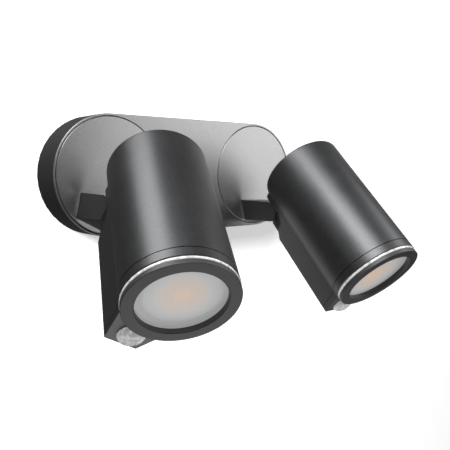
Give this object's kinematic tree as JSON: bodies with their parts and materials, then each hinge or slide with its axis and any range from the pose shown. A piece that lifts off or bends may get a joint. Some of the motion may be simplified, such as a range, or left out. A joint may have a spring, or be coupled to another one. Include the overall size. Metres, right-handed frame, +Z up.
{
  "type": "twin wall spotlight",
  "caption": "Oblong wall box with swivelling discs, short forked arms and cylindrical LED spot heads that tilt, each with a motion sensor under its rim.",
  "frame": {"origin": "middle of the wall box's back, on the wall plane", "axes": "+Z up, +X to the right along the wall box, -Y out from the wall towards the room; +Y is the outward normal of the wall face"},
  "size_m": [0.2823, 0.2057, 0.1672],
  "materials": {
    "grey_satin": "satin metallic grey paint on die-cast aluminium",
    "anthracite": "satin metallic anthracite paint",
    "anthracite_dark": "fine satin anthracite powder coat",
    "bezel_black": "satin dark anthracite",
    "clear_plastic": "clear moulded polycarbonate",
    "frosted_glass": "acid-etched glass",
    "rubber": "matt black rubber",
    "zinc_steel": "zinc plated",
    "bare_aluminium": "as cast",
    "reflector_silver": "vacuum metallised",
    "circuit_green": "solder mask",
    "board_white": "white solder mask on aluminium",
    "phosphor": "yellow phosphor gel",
    "white_plastic": "moulded polyamide",
    "black_plastic": "moulded black plastic",
    "copper_tape": "polyester tape over copper",
    "cable_grey": "PVC sheath"
  },
  "bodies": {
    "wall_box": {"wall_bracket": "zinc_steel", "rear_seal": "rubber", "housing": "grey_satin", "cable_grommet": "rubber", "terminal_block": "white_plastic", "driver_board": "circuit_green", "driver_transformer": "copper_tape", "driver_capacitor": "black_plastic", "switching_relay": "black_plastic", "earth_screw": "zinc_steel", "cover_screw_left": "zinc_steel", "cover_screw_right": "zinc_steel"},
    "left_arm": {"left_swivel_disc": "grey_satin", "left_disc_seal": "rubber", "left_swivel_washer": "black_plastic", "left_swivel_nut": "zinc_steel", "left_arm": "anthracite_dark", "left_arm_screw_a": "zinc_steel", "left_arm_screw_b": "zinc_steel", "left_arm_cable": "cable_grey", "left_tilt_bolt": "zinc_steel", "left_tilt_washer_outer": "black_plastic", "left_tilt_washer_inner": "black_plastic"},
    "left_head": {"left_casing": "anthracite", "left_front_collar": "anthracite", "left_sensor_lens": "clear_plastic", "left_bezel": "bezel_black", "left_glass": "frosted_glass", "left_glass_seal": "rubber", "left_reflector": "reflector_silver", "left_led_chip": "phosphor", "left_led_board": "board_white", "left_heat_sink": "bare_aluminium", "left_sensor_board": "circuit_green", "left_motion_sensor": "zinc_steel", "left_head_cable": "cable_grey"},
    "right_arm": {"right_swivel_disc": "grey_satin", "right_disc_seal": "rubber", "right_swivel_washer": "black_plastic", "right_swivel_nut": "zinc_steel", "right_arm": "anthracite_dark", "right_arm_screw_a": "zinc_steel", "right_arm_screw_b": "zinc_steel", "right_arm_cable": "cable_grey", "right_tilt_bolt": "zinc_steel", "right_tilt_washer_outer": "black_plastic", "right_tilt_washer_inner": "black_plastic"},
    "right_head": {"right_casing": "anthracite", "right_front_collar": "anthracite", "right_sensor_lens": "clear_plastic", "right_bezel": "bezel_black", "right_glass": "frosted_glass", "right_glass_seal": "rubber", "right_reflector": "reflector_silver", "right_led_chip": "phosphor", "right_led_board": "board_white", "right_heat_sink": "bare_aluminium", "right_sensor_board": "circuit_green", "right_motion_sensor": "zinc_steel", "right_head_cable": "cable_grey"}
  },
  "joints": [
    {"name": "left_swivel", "type": "hinge", "parent": "wall_box", "child": "left_arm", "pos_m": [-0.0795, -0.0315, 0], "axis": [0, -1, 0], "range_deg": [-61.3, 44.7]},
    {"name": "left_tilt", "type": "hinge", "parent": "left_arm", "child": "left_head", "pos_m": [-0.09616, -0.0676, -0.03044], "axis": [0.8771, 0, -0.4802], "range_deg": [-45, 45]},
    {"name": "right_swivel", "type": "hinge", "parent": "wall_box", "child": "right_arm", "pos_m": [0.0795, -0.0315, 0], "axis": [0, -1, 0], "range_deg": [-14, 92]},
    {"name": "right_tilt", "type": "hinge", "parent": "right_arm", "child": "right_head", "pos_m": [0.07829, -0.0676, -0.03468], "axis": [0.9994, 0, -0.0349], "range_deg": [-45, 45]}
  ]
}
